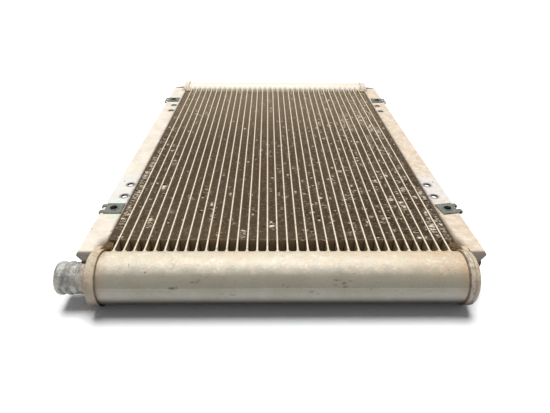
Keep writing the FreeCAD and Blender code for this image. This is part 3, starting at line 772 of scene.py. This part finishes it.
def spun(profile, turns, lump):
    """Points and faces of a closed profile of (x, radius) spun about the X axis. lump gives
    the extra radius at a place along X and an angle."""
    points = []
    for t in range(turns):
        angle = math.tau * t / turns
        for x, radius in profile:
            r = radius + lump(x, angle) if radius > 0 else 0.0
            points.append((x, r * math.cos(angle), r * math.sin(angle)))
    count = len(profile)
    faces = []
    for t in range(turns):
        a, b = t * count, (t + 1) % turns * count
        for i in range(count):
            j = (i + 1) % count
            faces.append((a + i, a + j, b + j, b + i))
    return points, faces


def smooth_line(corners, step):
    """Extra points along a profile, so that its lumps have something to move."""
    line = []
    for (x0, r0), (x1, r1) in zip(corners, corners[1:]):
        parts = max(1, round(math.hypot(x1 - x0, r1 - r0) / step))
        line += [(x0 + (x1 - x0) * k / parts, r0 + (r1 - r0) * k / parts) for k in range(parts)]
    return [*line, corners[-1]]


def lumpy_block(name, low, high):
    """A lumpy rounded block that fills a box."""
    low, high = Vector(low), Vector(high)
    middle, half = (low + high) / 2, (high - low) / 2
    shape = bmesh.new()
    bmesh.ops.create_icosphere(shape, subdivisions=4, radius=1.0)
    for vert in shape.verts:
        rough = 1 + 0.22 * noise.noise(vert.co * 2.4 + middle * 90)
        box = Vector([math.copysign(abs(c) ** 0.7, c) * rough for c in vert.co])
        vert.co = Vector([max(-1, min(1, c)) * h for c, h in zip(box, half)]) + middle
    for face in shape.faces:
        face.smooth = True
    mesh = bpy.data.meshes.new(name)
    shape.to_mesh(mesh)
    shape.free()
    return mesh


# --- Operators ------------------------------------------------------------------------------


class COOLER_OT_fins(bpy.types.Operator):
    """Fold the fin strips, seven rows to a piece, and dent their edges"""

    bl_idname = "cooler.fins"
    bl_label = "Folded fins"

    def execute(self, context):
        core = context.scene.cooler_core
        low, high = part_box("fins")
        finish = fin_finish(context.scene.cooler_colours)
        tree = copies_tree()
        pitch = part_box(TUBES[1])[0][0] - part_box(TUBES[0])[0][0]
        tube_low, tube_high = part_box(TUBES[0])
        half_width = (pitch - (tube_high[0] - tube_low[0])) / 2 - FIN_GAP
        rows = len(TUBES) + 1
        folds = int((high[1] - low[1] - core.foil) / (core.fold_step * 2))
        levels = (low[2], high[2] - FOLD_BEND, high[2])
        slack = (high[1] - low[1] - folds * core.fold_step * 2) / 2
        share = rows // FIN_PIECES
        for number in range(FIN_PIECES):
            shape = fold_shape(half_width, core.fold_step, core.foil, levels)
            start = pitch * (number * share - (rows - 1) / 2)
            piece = make_rows(
                f"fin_strips_{number + 1}", shape, tree, Across=share, Across_step=pitch,
                Along=folds, Along_step=core.fold_step * 2,
                Start=(start, low[1] + slack, 0.0), Waver=core.waver,
                Seed=float(core.seed), Finish=finish,
            )
            close_ends(piece)
            dent_fins(piece, high[2], core.dent_depth, core.seed)
            settle(piece, "fin_aluminium", "fins")
        return {"FINISHED"}


class COOLER_OT_braze(bpy.types.Operator):
    """Make the braze fillets where the tubes enter the two tanks"""

    bl_idname = "cooler.braze"
    bl_label = "Braze fillets"

    def execute(self, context):
        core = context.scene.cooler_core
        finish = braze_finish(context.scene.cooler_colours)
        tree = bpy.data.node_groups["Rows of copies"]
        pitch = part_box(TUBES[1])[0][0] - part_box(TUBES[0])[0][0]
        start = middle_of(TUBES[0]).x
        for name, side in (("front", -1), ("rear", 1)):
            extra = core.rear_extra if side > 0 else 0.0
            shape = flare_shape(side, core.braze_spread + extra, core.braze_reach + extra)
            piece = make_rows(
                f"braze_{name}", shape, tree, Across=len(TUBES), Across_step=pitch,
                Along=1, Along_step=0.0, Start=(start, 0.0, 0.0), Waver=0.0,
                Seed=0.0, Finish=finish,
            )
            settle(piece, "painted_aluminium")
        return {"FINISHED"}


class COOLER_OT_domed_caps(bpy.types.Operator):
    """Make the two domed caps with their lumpy weld beads"""

    bl_idname = "cooler.domed_caps"
    bl_label = "Domed caps"

    def execute(self, context):
        swell = context.scene.cooler_joints.bead_swell
        finish = painted_cap(context.scene.cooler_colours)
        dress(["front_cap_left", "rear_cap_left"], finish)
        for node in ("front_cap_right", "rear_cap_right"):
            low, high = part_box(node)
            middle = middle_of(node)
            limit = (high[2] - low[2]) / 2
            near, far = low[0] / MM, high[0] / MM
            radius = limit / MM
            # Along the axis and out from it, in mm: the weld bead, the dome, and the inside.
            corners = [
                (near + 0.2, 26.3), (near + 0.5, radius - 1.1), (near + 1.6, radius - 0.6),
                (near + 3.2, radius - 0.5), (near + 4.6, radius - 0.9), (near + 5.6, radius - 1.3),
                (near + 6.6, radius - 0.7), (far - 5.2, radius - 0.5), (far - 3.2, radius - 1.9),
                (far - 1.7, radius - 4.2), (far - 0.7, radius - 7.5), (far - 0.2, radius - 12),
                (far - 0.05, 8.0), (far - 0.05, 0.0), (far - 4.0, 0.0), (far - 4.0, 26.3),
            ]
            profile = smooth_line([(x * MM, r * MM) for x, r in corners], 1.1 * MM)

            def lump(x, angle):
                at = Vector((x / MM * 0.45, math.cos(angle) * 9, math.sin(angle) * 9))
                rough = noise.noise(at) + 0.5 * noise.noise(at * 2.3)
                on_bead = near * MM + 0.4 * MM < x < near * MM + 5.6 * MM
                return rough * (swell if on_bead else CAP_SKIN)

            points, faces = spun(profile, 120, lump)
            placed = []
            for x, y, z in points:
                r = math.hypot(y, z)
                keep = min(1.0, limit / r) if r else 1.0
                placed.append((x, middle.y + y * keep, middle.z + z * keep))
            piece = add_object(f"domed_{node}", mesh_from(node, placed, faces))
            piece.data.materials.append(finish)
            settle(piece, "painted_aluminium", node)
        return {"FINISHED"}


class COOLER_OT_stubs(bpy.types.Operator):
    """Make the two rough cast hose stubs"""

    bl_idname = "cooler.stubs"
    bl_label = "Cast hose stubs"

    def execute(self, context):
        lumps = context.scene.cooler_joints.cast_grain
        finish = cast_finish(context.scene.cooler_colours)
        for node, way in (("inlet_stub", "-X"), ("outlet_stub", "+Y")):
            low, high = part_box(node)
            middle = middle_of(node)
            if way == "-X":
                long, turn = high[0] - low[0], Matrix.Rotation(math.pi, 4, "Z")
                root = Vector((high[0], middle.y, middle.z))
            else:
                long, turn = high[1] - low[1], Matrix.Rotation(math.pi / 2, 4, "Z")
                root = Vector((middle.x, low[1], middle.z))
            end = long / MM
            # Along the stub and out from its axis, in mm: foot, barrel, hose bead, and bore.
            corners = [
                (-3.0, 13.6), (-3.0, 15.6), (0.4, 17.4), (1.2, 17.0), (2.6, 16.2),
                (end - 15.4, 16.0), (end - 14.6, 16.6), (end - 13.4, 16.9),
                (end - 11.4, 16.8), (end - 10.2, 16.0),
                (end - 8.0, 15.6), (end - 6.6, 16.1), (end - 5.4, 16.7), (end - 2.0, 16.8),
                (end - 0.6, 16.2), (end - 0.1, 15.2), (end - 0.1, 13.9), (end - 1.0, 13.5),
                (0.0, 13.5),
            ]
            profile = smooth_line([(x * MM, r * MM) for x, r in corners], 1.2 * MM)

            def lump(x, angle):
                at = Vector((x / MM * 0.22, math.cos(angle) * 3.4, math.sin(angle) * 3.4))
                rough = noise.noise(at) + 0.6 * noise.noise(at * 2.7)
                return min(rough * lumps, CAST_PROUD)

            points, faces = spun(profile, 96, lump)
            mesh = mesh_from(node, [root + turn @ Vector(p) for p in points], faces)
            piece = add_object(f"cast_{node}", mesh)
            piece.data.materials.append(finish)
            settle(piece, "cast_aluminium", node)
        return {"FINISHED"}


class COOLER_OT_tab_welds(bpy.types.Operator):
    """Make the lumpy welds that hang under the flanges' end tabs"""

    bl_idname = "cooler.tab_welds"
    bl_label = "Tab welds"

    def execute(self, context):
        finish = weld_finish(context.scene.cooler_colours)
        for node in sorted(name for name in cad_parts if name.startswith("tab_weld_")):
            piece = add_object(f"lumpy_{node}", lumpy_block(node, *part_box(node)))
            piece.data.materials.append(finish)
            settle(piece, "weld_aluminium", node)
        return {"FINISHED"}


class COOLER_OT_packed_dirt(bpy.types.Operator):
    """Fill the four corners between the flanges and the tanks with packed dirt"""

    bl_idname = "cooler.packed_dirt"
    bl_label = "Packed dirt"

    def execute(self, context):
        finish = dirt_finish(context.scene.cooler_colours)
        for row, along in (("front", -1), ("rear", 1)):
            for hand, across in (("left", -1), ("right", 1)):
                for kind, near, far in DIRT_LUMPS:
                    ends = [Vector((c.x * across, c.y * along, c.z)) * MM for c in (near, far)]
                    low = [min(pair) for pair in zip(*ends)]
                    high = [max(pair) for pair in zip(*ends)]
                    name = f"{kind}_dirt_{row}_{hand}"
                    piece = add_object(name, lumpy_block(name, low, high))
                    piece.data.materials.append(finish)
                    settle(piece, "painted_aluminium")
        return {"FINISHED"}


class COOLER_OT_tanks(bpy.types.Operator):
    """Finish the two painted header tanks"""

    bl_idname = "cooler.tanks"
    bl_label = "Tanks"

    def execute(self, context):
        dress(["front_tank", "rear_tank"], painted_tank(context.scene.cooler_colours))
        return {"FINISHED"}


class COOLER_OT_tubes(bpy.types.Operator):
    """Finish the flat tubes"""

    bl_idname = "cooler.tubes"
    bl_label = "Tubes"

    def execute(self, context):
        dress(TUBES, tube_finish(context.scene.cooler_colours))
        return {"FINISHED"}


class COOLER_OT_plates(bpy.types.Operator):
    """Finish the two side plates"""

    bl_idname = "cooler.plates"
    bl_label = "Side plates"

    def execute(self, context):
        plates = ["side_plate_left", "side_plate_right"]
        dress(plates, plate_finish(context.scene.cooler_colours))
        return {"FINISHED"}


class COOLER_OT_clips(bpy.types.Operator):
    """Finish the four spring clip nuts"""

    bl_idname = "cooler.clips"
    bl_label = "Clip nuts"

    def execute(self, context):
        dress(CLIPS, clip_finish(context.scene.cooler_colours))
        return {"FINISHED"}


class COOLER_OT_stage(bpy.types.Operator):
    """Set the pale floor, the soft light and the camera"""

    bl_idname = "cooler.stage"
    bl_label = "Studio stage"

    def execute(self, context):
        scene = context.scene
        stage = scene.cooler_stage
        ground = CAD_BOX[0][2] - 0.05 * MM
        left, near, right, far = FLOOR
        corners = [(x, y, ground) for x, y in (
            (left, near), (right, near), (right, far), (left, far))]
        mesh = bpy.data.meshes.new("floor")
        mesh.from_pydata(corners, [], [(0, 1, 2, 3)])
        mesh.materials.append(floor_finish(stage))
        floor = add_object("floor", mesh)

        lamp = bpy.data.lights.new("overhead", "SUN")
        lamp.energy = stage.lamp
        lamp.angle = stage.spread
        holder = bpy.data.objects.new("overhead", lamp)
        holder.rotation_euler = (-stage.lean, 0, 0)
        scene.collection.objects.link(holder)

        world = bpy.data.worlds.new("studio")
        world.use_nodes = True
        tree = world.node_tree
        tree.nodes.clear()
        seen = add(tree, "ShaderNodeLightPath").outputs["Is Camera Ray"]
        bright = add(tree, "ShaderNodeMapRange", {"Value": seen, 3: stage.fill, 4: 1.0})
        sky = add(tree, "ShaderNodeBackground", {"Color": linear("#ffffff"), "Strength": bright})
        add(tree, "ShaderNodeOutputWorld", {"Surface": sky})
        scene.world = world
        scene.view_settings.view_transform = "Standard"

        camera = bpy.data.cameras.new("camera")
        camera.lens = CAMERA_LENS
        camera.sensor_width = CAMERA_SENSOR
        view = bpy.data.objects.new("camera", camera)
        pitch, yaw, roll = (
            math.radians(a) for a in (CAMERA_PITCH, CAMERA_YAW, CAMERA_ROLL))
        ahead = Vector((math.sin(yaw) * math.cos(pitch), math.cos(yaw) * math.cos(pitch),
                        -math.sin(pitch)))
        across = Vector((math.cos(yaw), -math.sin(yaw), 0))
        above = across.cross(ahead)
        side = across * math.cos(roll) + above * math.sin(roll)
        top = above * math.cos(roll) - across * math.sin(roll)
        turn = Matrix((side, top, -ahead)).transposed().to_4x4()
        view.matrix_world = Matrix.Translation(CAMERA_PLACE) @ turn
        scene.collection.objects.link(view)
        scene.camera = view
        return {"FINISHED"}


class COOLER_PT_panel(bpy.types.Panel):
    """The cooler's sizes, colours and makers"""

    bl_idname = "COOLER_PT_panel"
    bl_label = "Oil cooler"
    bl_space_type = "VIEW_3D"
    bl_region_type = "UI"
    bl_category = "Oil cooler"

    def draw(self, context):
        for label, group in GROUPS.items():
            box = self.layout.box()
            holder = getattr(context.scene, label)
            for name in group.__annotations__:
                box.prop(holder, name)
        for maker in MAKERS:
            self.layout.operator(maker.bl_idname)


GROUPS = {
    "cooler_core": CoolerCore,
    "cooler_joints": CoolerJoints,
    "cooler_colours": CoolerColours,
    "cooler_stage": CoolerStage,
}
MAKERS = (
    COOLER_OT_stage, COOLER_OT_tanks, COOLER_OT_tubes, COOLER_OT_plates, COOLER_OT_clips,
    COOLER_OT_fins, COOLER_OT_braze, COOLER_OT_domed_caps, COOLER_OT_stubs,
    COOLER_OT_tab_welds, COOLER_OT_packed_dirt,
)


def register():
    for kind in (*GROUPS.values(), *MAKERS, COOLER_PT_panel):
        bpy.utils.register_class(kind)
    for label, group in GROUPS.items():
        setattr(bpy.types.Scene, label, PointerProperty(type=group))


def unregister():
    for label in GROUPS:
        delattr(bpy.types.Scene, label)
    for kind in reversed((*GROUPS.values(), *MAKERS, COOLER_PT_panel)):
        bpy.utils.unregister_class(kind)


def main():
    register()
    for maker in MAKERS:
        getattr(bpy.ops.cooler, maker.bl_idname.split(".")[1])()


if __name__ == "__main__":
    main()
